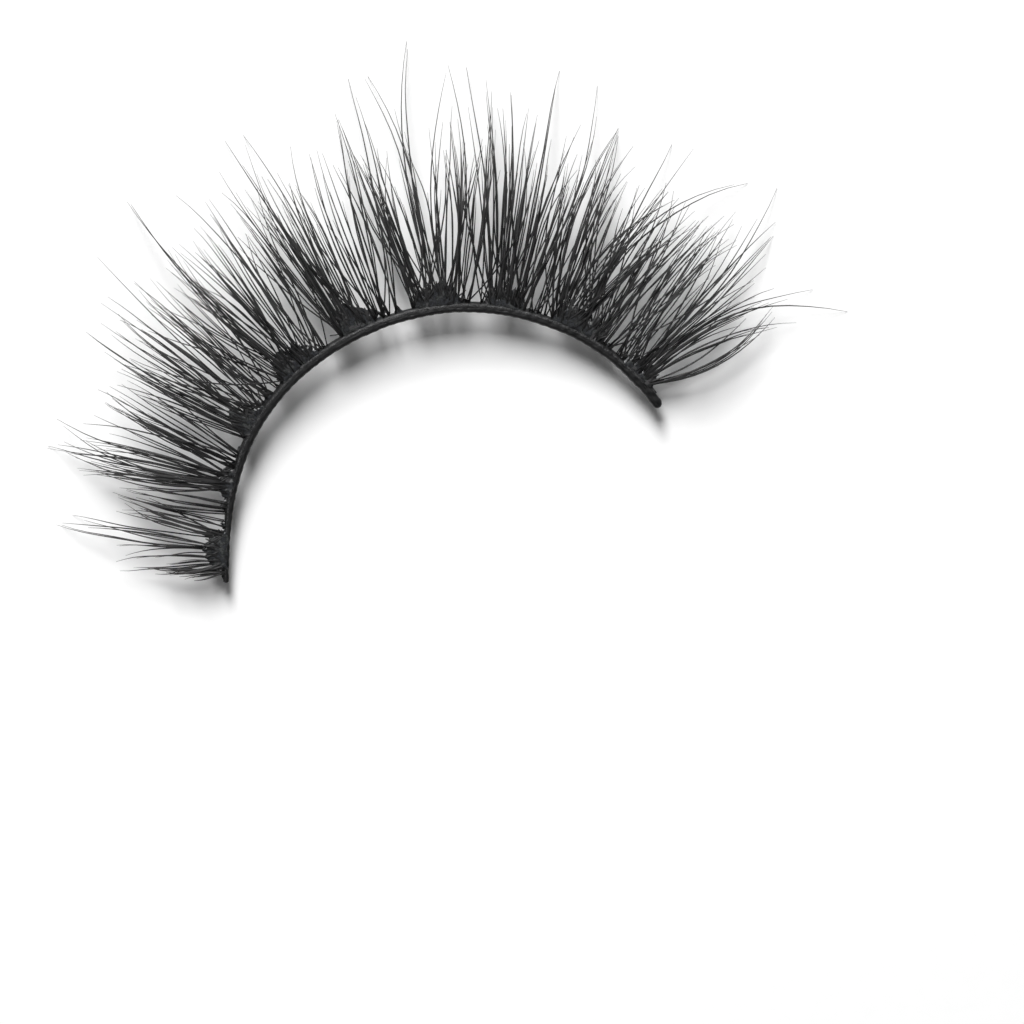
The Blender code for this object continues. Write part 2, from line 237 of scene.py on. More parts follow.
glueLook = {
    "dark": (0.012, 0.012, 0.0125),
    # blue, green and violet patches are painted sheen: an iridescent reflection drawn into the
    # glue's colour
    "blueSheen": (0.030, 0.032, 0.036),
    "greenSheen": (0.046, 0.050, 0.049),
    "violetSheen": (0.062, 0.058, 0.062),
    "sheenScale": 2600.0,                # 1/m, size of the patches of painted sheen
    "lumpScale": 3200.0,
    "grainScale": 12000.0,
    "smoothest": 0.12,
    "roughest": 0.46,
    "ior": 1.46,
    "lumpDepth": 3.0e-5,                # m
    "grainDepth": 6e-6,
}


def makeGlue(look):
    material, nodes, links, shader = startMaterial("driedGlue")
    place = nodes.new("ShaderNodeTexCoord").outputs["Object"]
    # patches of blue, green and violet painted sheen over the dark glue
    tint = addNoise(nodes, links, place, look["sheenScale"], 3.0, 0.6)
    color = addRamp(nodes, links, tint, (
        (0.36, look["dark"]), (0.46, look["blueSheen"]), (0.52, look["dark"]),
        (0.58, look["greenSheen"]), (0.64, look["violetSheen"]), (0.72, look["dark"])))
    links.new(color, shader.inputs["Base Color"])
    lumps = addNoise(nodes, links, place, look["lumpScale"], 5.0, 0.62)
    grain = addNoise(nodes, links, place, look["grainScale"], 2.0)
    rough = addRange(nodes, links, lumps, 0.35, 0.65, look["smoothest"], look["roughest"])
    links.new(rough, shader.inputs["Roughness"])
    shader.inputs["IOR"].default_value = look["ior"]
    normal = addBump(nodes, links, lumps, 0.8, look["lumpDepth"])
    links.new(addBump(nodes, links, grain, 0.5, look["grainDepth"], normal), shader.inputs["Normal"])
    return material


cordLook = {
    "dark": (0.003, 0.003, 0.0033),
    "worn": (0.009, 0.009, 0.0094),
    # pale specks on the upper ridge: painted highlight where light catches the ridge
    "ridgeHighlight": (0.070, 0.070, 0.072),
    "streakScale": (3.0, 11.0, 11.0),   # along, across and up, 1/mm
    "grainScale": (12.0, 18.0, 18.0),
    "highlightFrom": 0.59,                   # noise above which a speck of painted highlight is fully pale
    "highlightFade": 0.12,
    "smoothest": 0.34,
    "roughest": 0.58,
    "ior": 1.38,
    "streakDepth": 3.4e-5,
    "grainDepth": 2.4e-5,
}


def makeCord(look):
    material, nodes, links, shader = startMaterial("coatedCord")
    place = addAttribute(nodes, "cordPlace", "Vector")

    def scaled(size):
        mapping = nodes.new("ShaderNodeMapping")
        mapping.inputs["Scale"].default_value = size
        links.new(place, mapping.inputs["Vector"])
        return mapping.outputs["Vector"]

    streaks = addNoise(nodes, links, scaled(look["streakScale"]), 1.0, 4.0)
    grain = addNoise(nodes, links, scaled(look["grainScale"]), 1.0, 3.0)
    color = addRamp(nodes, links, streaks, ((0.38, look["dark"]), (0.66, look["worn"])))
    # pale specks of painted highlight, only on the ridge's upper side
    ridge = addAttribute(nodes, "cordRidge", "Fac")
    specks = addRange(nodes, links, grain, look["highlightFrom"] - look["highlightFade"],
                      look["highlightFrom"], 0.0, 1.0)
    highlit = nodes.new("ShaderNodeMath")
    highlit.operation = "MULTIPLY"
    links.new(specks, highlit.inputs[0])
    links.new(ridge, highlit.inputs[1])
    color = addMix(nodes, links, highlit.outputs[0], color, (*look["ridgeHighlight"], 1.0))
    links.new(color, shader.inputs["Base Color"])
    rough = addRange(nodes, links, streaks, 0.35, 0.65, look["smoothest"], look["roughest"])
    links.new(rough, shader.inputs["Roughness"])
    shader.inputs["IOR"].default_value = look["ior"]
    normal = addBump(nodes, links, streaks, 0.8, look["streakDepth"])
    links.new(addBump(nodes, links, grain, 0.6, look["grainDepth"], normal), shader.inputs["Normal"])
    return material


fibre = makeFibre(fibreLook)
glue = makeGlue(glueLook)
cord = makeCord(cordLook)
print("materials made")

# Hair. A row is one pointed tuft of a cluster, read off along the band:
# root share, its spread, tip share, its spread, reach of the tip in mm, hairs, and then,
# where they are given, how far it bows (a share of its length) and how ragged its tip is.
tufts = {
    "cluster_01": (
        (0.014, 0.010, 0.006, 0.006, 2.2, 4), (0.020, 0.010, 0.010, 0.006, 3.3, 5),
        (0.022, 0.024, 0.008, 0.016, 3.0, 6), (0.028, 0.010, 0.016, 0.006, 3.8, 5),
        (0.034, 0.010, 0.028, 0.006, 3.2, 4), (0.030, 0.012, 0.019, 0.006, 4.2, 4),
        (0.036, 0.010, 0.020, 0.003, 5.7, 2), (0.040, 0.010, 0.030, 0.003, 5.9, 2),
        (0.046, 0.012, 0.040, 0.006, 5.4, 3), (0.050, 0.012, 0.051, 0.006, 5.9, 3),
        (0.054, 0.016, 0.077, 0.002, 9.2, 6, 0.0, 0.3), (0.060, 0.016, 0.088, 0.004, 8.4, 4),
        (0.066, 0.014, 0.093, 0.012, 6.0, 5), (0.072, 0.012, 0.104, 0.010, 5.6, 5),
        (0.077, 0.010, 0.117, 0.008, 6.2, 6), (0.083, 0.010, 0.112, 0.006, 5.5, 3)),
    "filler_01": (
        (0.094, 0.006, 0.116, 0.004, 6.0, 3), (0.112, 0.008, 0.118, 0.004, 6.3, 4),
        (0.118, 0.008, 0.123, 0.006, 5.6, 4), (0.126, 0.008, 0.128, 0.004, 5.0, 4)),
    "cluster_02": (
        (0.146, 0.010, 0.131, 0.003, 8.0, 4), (0.149, 0.010, 0.138, 0.004, 8.4, 6),
        (0.152, 0.012, 0.146, 0.004, 8.6, 8), (0.155, 0.012, 0.149, 0.003, 9.2, 8, 0.01),
        (0.158, 0.012, 0.153, 0.003, 10.2, 5, 0.01), (0.160, 0.012, 0.158, 0.003, 9.4, 7, 0.02),
        (0.162, 0.010, 0.175, 0.002, 10.1, 4, 0.02), (0.164, 0.010, 0.166, 0.004, 8.8, 5, 0.01),
        (0.168, 0.006, 0.199, 0.003, 7.7, 2), (0.166, 0.006, 0.190, 0.002, 8.2, 2),
        (0.180, 0.010, 0.206, 0.004, 7.9, 6), (0.184, 0.010, 0.214, 0.003, 8.5, 4),
        (0.188, 0.008, 0.221, 0.004, 8.3, 5)),
    "filler_02": (
        (0.194, 0.008, 0.213, 0.006, 8.0, 4), (0.200, 0.006, 0.228, 0.006, 7.8, 4),
        (0.206, 0.006, 0.235, 0.010, 7.2, 4), (0.200, 0.002, 0.183, 0.002, 8.6, 1)),
    "cluster_03": (
        (0.231, 0.012, 0.226, 0.010, 7.6, 6), (0.236, 0.014, 0.236, 0.008, 7.9, 6),
        (0.242, 0.016, 0.244, 0.004, 8.4, 7), (0.246, 0.010, 0.252, 0.003, 10.4, 2),
        (0.250, 0.016, 0.256, 0.008, 8.8, 6), (0.255, 0.014, 0.263, 0.003, 10.0, 3),
        (0.258, 0.016, 0.268, 0.010, 8.8, 6), (0.264, 0.014, 0.279, 0.004, 12.3, 4),
        (0.268, 0.014, 0.286, 0.004, 12.4, 3), (0.272, 0.014, 0.282, 0.010, 9.4, 5),
        (0.277, 0.014, 0.306, 0.004, 12.6, 4), (0.282, 0.012, 0.293, 0.008, 9.4, 5),
        (0.286, 0.012, 0.299, 0.008, 8.6, 5), (0.240, 0.006, 0.276, 0.006, 9.2, 2, -0.05),
        (0.282, 0.006, 0.244, 0.006, 7.8, 2, 0.06)),
    "filler_03": (
        (0.302, 0.006, 0.309, 0.006, 9.8, 5), (0.306, 0.006, 0.314, 0.006, 9.2, 4),
        (0.322, 0.004, 0.318, 0.010, 8.0, 4), (0.306, 0.004, 0.320, 0.004, 7.4, 2),
        (0.312, 0.004, 0.300, 0.004, 7.0, 2)),
    "cluster_04": (
        (0.338, 0.012, 0.300, 0.004, 7.6, 4), (0.342, 0.014, 0.309, 0.006, 7.2, 4),
        (0.345, 0.014, 0.322, 0.010, 8.4, 6), (0.348, 0.016, 0.333, 0.008, 8.6, 6),
        (0.352, 0.016, 0.345, 0.006, 10.4, 6), (0.356, 0.014, 0.352, 0.002, 13.0, 2, -0.03),
        (0.360, 0.018, 0.352, 0.008, 9.6, 6), (0.364, 0.016, 0.361, 0.008, 9.4, 6),
        (0.368, 0.016, 0.368, 0.008, 9.0, 5), (0.372, 0.016, 0.376, 0.006, 9.8, 5),
        (0.376, 0.014, 0.385, 0.004, 11.5, 3), (0.382, 0.014, 0.386, 0.008, 9.4, 5),
        (0.387, 0.012, 0.395, 0.008, 9.6, 5), (0.392, 0.010, 0.403, 0.006, 10.3, 4),
        (0.350, 0.004, 0.305, 0.002, 8.0, 1), (0.392, 0.006, 0.350, 0.006, 8.2, 2, 0.05),
        (0.348, 0.006, 0.388, 0.006, 8.6, 2, -0.05)),
    "filler_04": (
        (0.402, 0.008, 0.405, 0.008, 8.4, 4), (0.408, 0.006, 0.419, 0.003, 10.2, 3),
        (0.413, 0.006, 0.413, 0.010, 7.6, 4), (0.420, 0.006, 0.424, 0.004, 9.0, 4)),
    "cluster_05": (
        (0.451, 0.010, 0.424, 0.006, 9.4, 5), (0.453, 0.012, 0.431, 0.006, 8.8, 7),
        (0.455, 0.012, 0.429, 0.002, 11.2, 2), (0.457, 0.014, 0.441, 0.006, 9.6, 7),
        (0.456, 0.010, 0.443, 0.002, 12.5, 2), (0.460, 0.018, 0.450, 0.008, 9.4, 7),
        (0.465, 0.016, 0.461, 0.003, 12.3, 4), (0.468, 0.018, 0.459, 0.008, 9.8, 7),
        (0.474, 0.018, 0.470, 0.008, 9.6, 7), (0.480, 0.016, 0.479, 0.008, 8.8, 6),
        (0.486, 0.014, 0.486, 0.006, 8.6, 5), (0.492, 0.012, 0.494, 0.002, 10.6, 3),
        (0.502, 0.004, 0.448, 0.004, 8.6, 1, 0.05), (0.494, 0.004, 0.440, 0.004, 7.8, 1, 0.06),
        (0.498, 0.010, 0.490, 0.006, 7.4, 4)),
    "filler_05": (
        (0.507, 0.008, 0.507, 0.003, 9.8, 4), (0.512, 0.008, 0.500, 0.006, 8.0, 4),
        (0.516, 0.008, 0.516, 0.004, 10.0, 5), (0.520, 0.010, 0.541, 0.003, 11.4, 5, 0.0, 0.4),
        (0.524, 0.008, 0.525, 0.006, 8.8, 4), (0.530, 0.006, 0.540, 0.008, 9.8, 4),
        (0.543, 0.004, 0.532, 0.006, 8.6, 3), (0.543, 0.004, 0.557, 0.002, 13.1, 2)),
    "cluster_06": (
        (0.569, 0.006, 0.546, 0.004, 9.0, 4), (0.577, 0.014, 0.543, 0.003, 10.6, 6),
        (0.580, 0.014, 0.552, 0.006, 8.4, 7), (0.584, 0.016, 0.562, 0.003, 10.6, 4),
        (0.586, 0.018, 0.566, 0.008, 8.6, 7), (0.590, 0.012, 0.573, 0.002, 13.0, 2),
        (0.594, 0.018, 0.578, 0.008, 8.8, 7), (0.598, 0.014, 0.592, 0.003, 11.1, 4),
        (0.602, 0.018, 0.590, 0.008, 8.4, 6), (0.606, 0.014, 0.610, 0.002, 14.5, 3),
        (0.611, 0.016, 0.604, 0.008, 8.6, 6), (0.616, 0.014, 0.620, 0.003, 11.6, 5),
        (0.617, 0.012, 0.626, 0.002, 14.7, 3), (0.621, 0.014, 0.618, 0.008, 8.0, 6),
        (0.625, 0.014, 0.637, 0.003, 10.8, 5), (0.626, 0.010, 0.640, 0.002, 13.0, 2),
        (0.630, 0.012, 0.632, 0.008, 8.4, 5), (0.636, 0.010, 0.648, 0.004, 8.8, 4),
        (0.604, 0.004, 0.540, 0.004, 8.8, 1, 0.05), (0.612, 0.004, 0.556, 0.004, 8.0, 2, 0.05),
        (0.584, 0.004, 0.632, 0.006, 8.4, 2, -0.05),
        (0.640, 0.008, 0.655, 0.004, 7.6, 4)),
    "filler_06": (
        (0.648, 0.005, 0.663, 0.004, 8.0, 4), (0.652, 0.005, 0.671, 0.003, 10.4, 4),
        (0.655, 0.004, 0.676, 0.004, 9.5, 3), (0.675, 0.004, 0.668, 0.006, 8.6, 4)),
    "cluster_07": (
        (0.685, 0.008, 0.668, 0.004, 9.8, 5), (0.690, 0.010, 0.672, 0.004, 11.6, 7),
        (0.690, 0.012, 0.649, 0.002, 12.9, 2), (0.692, 0.012, 0.664, 0.002, 12.2, 2),
        (0.694, 0.014, 0.680, 0.004, 11.6, 6), (0.698, 0.014, 0.687, 0.004, 9.8, 6),
        (0.702, 0.012, 0.685, 0.002, 11.6, 2), (0.705, 0.014, 0.696, 0.006, 8.2, 5),
        (0.709, 0.012, 0.702, 0.002, 10.9, 2), (0.712, 0.014, 0.707, 0.006, 8.4, 5),
        (0.717, 0.014, 0.712, 0.002, 13.5, 4), (0.719, 0.014, 0.716, 0.006, 10.0, 7),
        (0.722, 0.012, 0.719, 0.002, 13.2, 2), (0.725, 0.012, 0.726, 0.006, 9.4, 6),
        (0.727, 0.010, 0.755, 0.002, 12.9, 2), (0.730, 0.012, 0.737, 0.006, 9.8, 5),
        (0.733, 0.010, 0.749, 0.004, 10.6, 3), (0.737, 0.010, 0.748, 0.008, 8.2, 5),
        (0.734, 0.006, 0.690, 0.006, 8.8, 2, 0.05), (0.700, 0.006, 0.742, 0.006, 9.0, 2, -0.05),
        (0.741, 0.008, 0.764, 0.006, 10.2, 4)),
    "filler_07": (
        (0.752, 0.006, 0.758, 0.008, 8.4, 4), (0.757, 0.005, 0.768, 0.008, 9.0, 4),
        (0.764, 0.006, 0.752, 0.008, 7.2, 4), (0.774, 0.004, 0.778, 0.004, 9.4, 4)),
    "cluster_08": (
        (0.788, 0.006, 0.779, 0.003, 10.0, 6, 0.0, 0.4),
        (0.790, 0.012, 0.783, 0.002, 11.1, 12, 0.0, 0.2),
        (0.795, 0.012, 0.788, 0.004, 9.4, 6), (0.800, 0.012, 0.801, 0.002, 10.4, 5),
        (0.804, 0.012, 0.803, 0.006, 8.6, 4), (0.809, 0.014, 0.812, 0.006, 9.4, 4),
        (0.796, 0.012, 0.838, 0.012, 9.0, 4, 0.03), (0.804, 0.014, 0.850, 0.010, 8.8, 5, 0.05),
        (0.812, 0.014, 0.864, 0.012, 8.8, 5, 0.06), (0.820, 0.014, 0.876, 0.012, 8.9, 6, 0.06),
        (0.828, 0.014, 0.886, 0.012, 8.7, 6, 0.06), (0.836, 0.012, 0.897, 0.002, 11.8, 3, 0.08),
        (0.844, 0.014, 0.896, 0.012, 9.2, 4, 0.04), (0.840, 0.010, 0.816, 0.008, 8.6, 3),
        (0.848, 0.014, 0.824, 0.010, 9.0, 4), (0.854, 0.014, 0.832, 0.010, 9.4, 5, 0.02),
        (0.860, 0.014, 0.842, 0.010, 9.4, 5, 0.02), (0.866, 0.012, 0.852, 0.010, 9.2, 5),
        (0.871, 0.010, 0.862, 0.010, 9.0, 4), (0.813, 0.010, 0.818, 0.003, 12.4, 3),
        (0.822, 0.010, 0.830, 0.004, 11.4, 3), (0.831, 0.010, 0.848, 0.002, 12.4, 3),
        (0.838, 0.014, 0.844, 0.008, 9.0, 3), (0.842, 0.010, 0.866, 0.002, 12.0, 3),
        (0.858, 0.014, 0.878, 0.010, 8.6, 4), (0.864, 0.012, 0.890, 0.008, 9.1, 4),
        (0.872, 0.010, 0.903, 0.008, 9.6, 3)),
    "filler_08": (
        (0.884, 0.005, 0.915, 0.012, 8.8, 4), (0.886, 0.005, 0.893, 0.008, 8.6, 4),
        (0.902, 0.005, 0.884, 0.008, 8.6, 4), (0.905, 0.005, 0.905, 0.008, 9.6, 4)),
    "cluster_09": (
        (0.914, 0.006, 0.893, 0.006, 8.8, 4), (0.918, 0.010, 0.903, 0.004, 10.2, 5),
        (0.923, 0.012, 0.908, 0.008, 8.6, 5), (0.930, 0.012, 0.915, 0.002, 12.6, 2, -0.03),
        (0.930, 0.014, 0.915, 0.004, 9.8, 6), (0.934, 0.012, 0.921, 0.006, 8.8, 4),
        (0.936, 0.012, 0.934, 0.004, 11.2, 4), (0.940, 0.012, 0.941, 0.004, 10.6, 4),
        (0.943, 0.012, 0.955, 0.002, 12.1, 4, 0.04), (0.946, 0.012, 0.949, 0.006, 9.6, 5),
        (0.948, 0.012, 0.960, 0.006, 9.0, 4), (0.952, 0.010, 0.975, 0.004, 8.7, 5, 0.06),
        (0.955, 0.010, 0.979, 0.006, 8.0, 4, 0.06), (0.955, 0.008, 0.996, 0.002, 10.4, 3, 0.08),
        (0.957, 0.004, 1.050, 0.001, 11.2, 1, 0.15), (0.958, 0.008, 0.990, 0.008, 7.6, 4, 0.06),
        (0.960, 0.008, 1.005, 0.006, 7.6, 4, 0.05), (0.962, 0.008, 1.019, 0.003, 8.6, 3, 0.06),
        (0.966, 0.006, 0.987, 0.008, 8.1, 5, -0.07), (0.965, 0.008, 0.998, 0.006, 7.8, 4, -0.07)),
}

hairStyle = {
    "density": 0.75,         # times the hairs of the table
    "rootDiameter": 0.075,   # mm
    "tipDiameter": 0.015,
    "taperFrom": 0.56,       # share of its length where a hair starts to thin
    "taperPower": 1.15,
    "sizeSpread": 0.09,      # of the diameter, from hair to hair
    "sizeLimits": (0.75, 1.25),
    "shortest": 0.74,        # shortest hair of a ragged tuft, against the longest
    "shortPower": 1.3,       # above 1 leaves more hairs near the full length
    "rootFan": 1.20,         # times the table's spread at the root
    "strandHairs": 1.9,      # hairs that lie together in a strand of a tuft
    "strandWidth": 0.0040,   # share of the band that a strand takes at its root
    "tipJitter": 0.0012,     # share of the band
    "strays": 0.22,          # share of the hairs that leave their tuft a little
    "strayTurn": 0.014,      # how far along the band their tips stray
    "strayLoss": 0.15,       # of their length
    "crossers": 0.15,        # share of the hairs that run across the tufts beside theirs
    "crossTurn": (0.022, 0.052),  # shares of the band by which their tips move
    "crossFrom": 0.20,       # share of the band past which hairs cross
    "crossEnds": (0.012, 1.0),    # shares between which their tips stay
    "crossReach": 9.0,       # mm, the farthest that a crossing hair reaches
    "crossBow": 1.1,         # times its turn
    "freeHairs": 2,          # tufts with no more hairs than this neither stray nor cross
    "rootDepth": 0.06,       # mm inside the band's outer face
    "stackLow": -0.06,       # mm, lowest and highest root against the band's middle
    "stackHigh": 0.20,
    "layerDeg": 5.5,         # spread of the angle at which hairs leave the band
    "wave": 0.05,            # mm, sideways wander of a hair
    "waveTurns": (0.8, 2.2),  # waves in the length of a hair
    "bowSpread": 0.034,
    "bowJitter": 0.35,       # of that spread, from hair to hair in a strand
    "floorGap": 0.02,        # mm under the tips
    "lineGap": 0.03,         # mm more under a hair's centre line
    "sides": 6,
    "rings": 12,
    "ringPower": 0.9,        # below 1 sets the rings closer towards the tip
}


def combTufts(rows, style, rng):
    # arrays with one entry for each hair: root and tip shares, reach, length and bow
    columns = [[] for _ in range(5)]
    for row in rows:
        root, rootSpread, tip, tipSpread, reach, count = row[:6]
        bow = row[6] if len(row) > 6 else 0.0
        ragged = row[7] if len(row) > 7 else 1.0
        hairs = max(1, round(count * style["density"]))
        strands = max(1, round(hairs / style["strandHairs"]))
        slots = (np.arange(strands) + rng.uniform(0.1, 0.9, strands)) / strands * 2 - 1
        ends = rng.uniform(-1, 1, strands)
        bows = bow + rng.normal(0, style["bowSpread"], strands)
        strand = np.arange(hairs) % strands
        short = rng.uniform(0, 1, hairs) ** style["shortPower"]
        length = 1 - (1 - style["shortest"]) * ragged * short
        length[rng.integers(hairs)] = 1.0
        roots = root + style["rootFan"] * rootSpread / 2 * slots[strand]
        roots += rng.uniform(-0.5, 0.5, hairs) * style["strandWidth"]
        tips = tip + tipSpread / 2 * ends[strand] + rng.normal(0, style["tipJitter"], hairs)
        mayLeave = count > style["freeHairs"]
        strays = (rng.uniform(0, 1, hairs) < style["strays"]) & mayLeave
        tips += strays * rng.normal(0, style["strayTurn"], hairs)
        crossers = (rng.uniform(0, 1, hairs) < style["crossers"]) & mayLeave
        crossers &= root > style["crossFrom"]
        turn = rng.choice((-1, 1), hairs) * rng.uniform(*style["crossTurn"], hairs)
        tips = np.where(crossers, np.clip(tips + turn, *style["crossEnds"]), tips)
        reaches = np.where(crossers, min(reach, style["crossReach"]), reach)
        length = length * (1 - style["strayLoss"] * strays)
        hairBows = bows[strand] + rng.normal(0, style["bowJitter"] * style["bowSpread"], hairs)
        hairBows = hairBows - style["crossBow"] * crossers * turn
        for column, value in zip(columns, (roots, tips, reaches, length, hairBows)):
            column.append(value)
    return [np.concatenate(column) for column in columns]


def hairPoints(root, tip, reach, length, bow, style, rng):
    # centre lines of all hairs, one row each, along the same curl as the solid locks
    hairs = len(root)
    steps = np.linspace(0.0, 1.0, style["rings"]) ** style["ringPower"]
    startX, startY = chart(root, outerFaceAt(root) - style["rootDepth"])
    endX, endY = chart(tip, reach)
    run = np.hypot(endX - startX, endY - startY)
    angle = rootAngleAt(root) + np.radians(rng.uniform(-1, 1, hairs) * style["layerDeg"])
    base = bandHeightAt(root) + rng.uniform(style["stackLow"], style["stackHigh"], hairs)
    drop = base - style["floorGap"] - style["tipDiameter"]
    chord = np.arctan2(-drop, run)
    radius = np.maximum(strip["curlRadius"], np.hypot(run, drop) / (2 * np.sin(angle - chord)))
    part = steps[None, :] * length[:, None]
    along = part * run[:, None]
    out = along - (radius * np.sin(angle))[:, None]
    z = base[:, None] + np.sqrt(radius[:, None] ** 2 - out ** 2) - (radius * np.cos(angle))[:, None]
    phase = rng.uniform(0, 2 * math.pi, hairs)[:, None]
    turns = rng.uniform(*style["waveTurns"], hairs)[:, None]
    wander = style["wave"] * np.sin(phase + turns * 2 * math.pi * part) * part
    side = 4 * part * (1 - part) * (bow * run)[:, None] + wander
    unitX = ((endX - startX) / run)[:, None]
    unitY = ((endY - startY) / run)[:, None]
    x = startX[:, None] + unitX * along - unitY * side
    y = startY[:, None] + unitY * along + unitX * side
    z = np.maximum(z, style["floorGap"] + style["lineGap"])
    return np.stack([x, y, z], axis=2), steps


def tubeMesh(lines, radii, sides):
    # points and faces of capped tubes round the centre lines
    hairs, rings = lines.shape[:2]
    tangent = np.gradient(lines, axis=1)
    tangent /= np.linalg.norm(tangent, axis=2, keepdims=True)
    across = np.cross(tangent, (0.0, 0.0, 1.0))
    across /= np.linalg.norm(across, axis=2, keepdims=True)
    up = np.cross(across, tangent)
    turn = np.linspace(0, 2 * math.pi, sides, endpoint=False)
    ring = (np.cos(turn)[None, None, :, None] * across[:, :, None, :]
            + np.sin(turn)[None, None, :, None] * up[:, :, None, :])
    points = (lines[:, :, None, :] + ring * radii[:, :, None, None]).reshape(-1, 3)
    ids = np.arange(hairs * rings * sides).reshape(hairs, rings, sides)
    after = np.roll(ids, -1, axis=2)
    quads = np.stack([ids[:, :-1], ids[:, 1:], after[:, 1:], after[:, :-1]], axis=3).reshape(-1, 4)
    faces = quads.tolist() + ids[:, 0, :].tolist() + ids[:, -1, ::-1].tolist()
    return points, faces


# Glue. How far it reaches out from the band's centre line, mm, by share; low where a window is.
glueShape = {
    "edge": (
        (0, .18), (.020, .30), (.030, .9), (.040, 1.20), (.060, 1.25), (.072, 1.0), (.079, .45),
        (.084, .28), (.089, .36), (.093, .42), (.098, .25), (.105, .22), (.114, .26), (.120, .6),
        (.126, .45), (.132, .5), (.138, .6), (.144, 1.0), (.151, 1.15), (.161, 1.15), (.170, .7),
        (.180, .65), (.187, .5), (.194, .27), (.203, .27), (.210, .50), (.216, .27), (.226, .27),
        (.233, .75), (.240, 1.3), (.252, 1.5), (.265, 1.3), (.275, 1.0), (.284, .7), (.290, .42),
        (.297, .40), (.303, .75), (.308, .6), (.313, .27), (.324, .27), (.330, .45), (.338, .9),
        (.345, 1.3), (.357, 1.6), (.370, 1.6), (.385, 1.2), (.395, .9), (.405, .6), (.411, .42),
        (.416, .45), (.421, .27), (.436, .27), (.447, .27), (.453, .9), (.460, 1.7), (.475, 1.8),
        (.490, 1.3), (.500, 1.0), (.510, .9), (.518, .7), (.526, .45), (.530, .27), (.538, .27),
        (.543, .70), (.547, .5), (.551, .27), (.566, .27), (.572, .8), (.580, 1.1), (.592, 1.2),
        (.605, 1.5), (.620, 1.6), (.632, 1.1), (.640, .7), (.646, .5), (.652, .42), (.658, .27),
        (.676, .27), (.681, .8), (.688, 1.1), (.697, 1.2), (.715, 1.4), (.730, 1.1), (.738, .7),
        (.744, .27), (.750, .50), (.757, .55), (.763, .40), (.768, .27), (.784, .27), (.790, .7),
        (.799, 1.1), (.820, 1.4), (.845, 1.3), (.858, 1.0), (.868, .6), (.876, .42), (.884, .45),
        (.889, .27), (.904, .27), (.910, .6), (.917, .9), (.935, 1.1), (.950, 1.4), (.962, 1.2),
        (.970, .6), (.975, .27), (.98, .3), (1.0, .3)),
    "spans": {  # shares from which to which each node's glue runs
        "cluster_01": (0.002, 0.092), "filler_01": (0.092, 0.133), "cluster_02": (0.133, 0.190),
        "filler_02": (0.190, 0.224), "cluster_03": (0.224, 0.292), "filler_03": (0.292, 0.327),
        "cluster_04": (0.327, 0.399), "filler_04": (0.399, 0.436), "cluster_05": (0.436, 0.504),
        "filler_05": (0.504, 0.548), "cluster_06": (0.548, 0.644), "filler_06": (0.644, 0.672),
        "cluster_07": (0.672, 0.748), "filler_07": (0.748, 0.779), "cluster_08": (0.779, 0.879),
        "filler_08": (0.879, 0.907), "cluster_09": (0.907, 0.985)},
    "columnPitch": 0.07,     # mm along the band
    "fewestColumns": 6,
    "edgeSteps": 8,          # for each column, where the edge is smoothed
    "edgeKernel": 9,         # of those steps, averaged at each place
    "edgeMargin": 0.006,     # share of the band past both ends
    "rows": 12,
    "bandOverlap": 0.22,     # mm over the band
    "overlapRagged": 0.5,
    "leastReach": 0.015,     # mm past the band's outer face
    "fullReach": 0.35,       # mm past it from which the glue is at full thickness
    "thinnest": 0.25,        # of that thickness
    "bandThickness": 0.54,   # mm where the glue leaves the band
    "edgeThickness": 0.05,
    "ribPitch": 0.13,        # mm from hair to hair in the glue
    "ribHeight": 0.050,
    "ribWander": 2.2,        # radians
    "lump": 0.040,
    "lumpSkew": 3.1,         # turns the lumps away from the ribs
    "ragged": 0.24,          # of its reach, from hair to hair
    "raggedBias": 0.35,
    "noisePitch": {"ragged": 0.17, "overlap": 0.24, "rib": 0.5, "lump": 0.19},  # mm
    "stubsPerMm": 12,        # cut fibre ends caught in the glue
    "stubRoom": 0.25,        # mm of glue that a stub needs
    "stubLength": (0.35, 1.1),
    "stubRise": (0.05, 0.17),  # mm above the middle of the glue
    "stubArch": 0.05,
    "stubDiameter": 0.075,
    "stubEnd": 0.5,          # times the diameter at both ends
    "stubTurnDeg": 26.0,
}


def smoothNoise(places, pitch, rng, reach=60.0):
    # soft random curve over places, mm, with a knot every pitch
    knots = rng.uniform(-1, 1, int(reach / pitch) + 3)
    spot = np.asarray(places) / pitch
    low = np.floor(spot).astype(int)
    part = spot - low
    part = part * part * (3 - 2 * part)
    return knots[low] * (1 - part) + knots[low + 1] * part


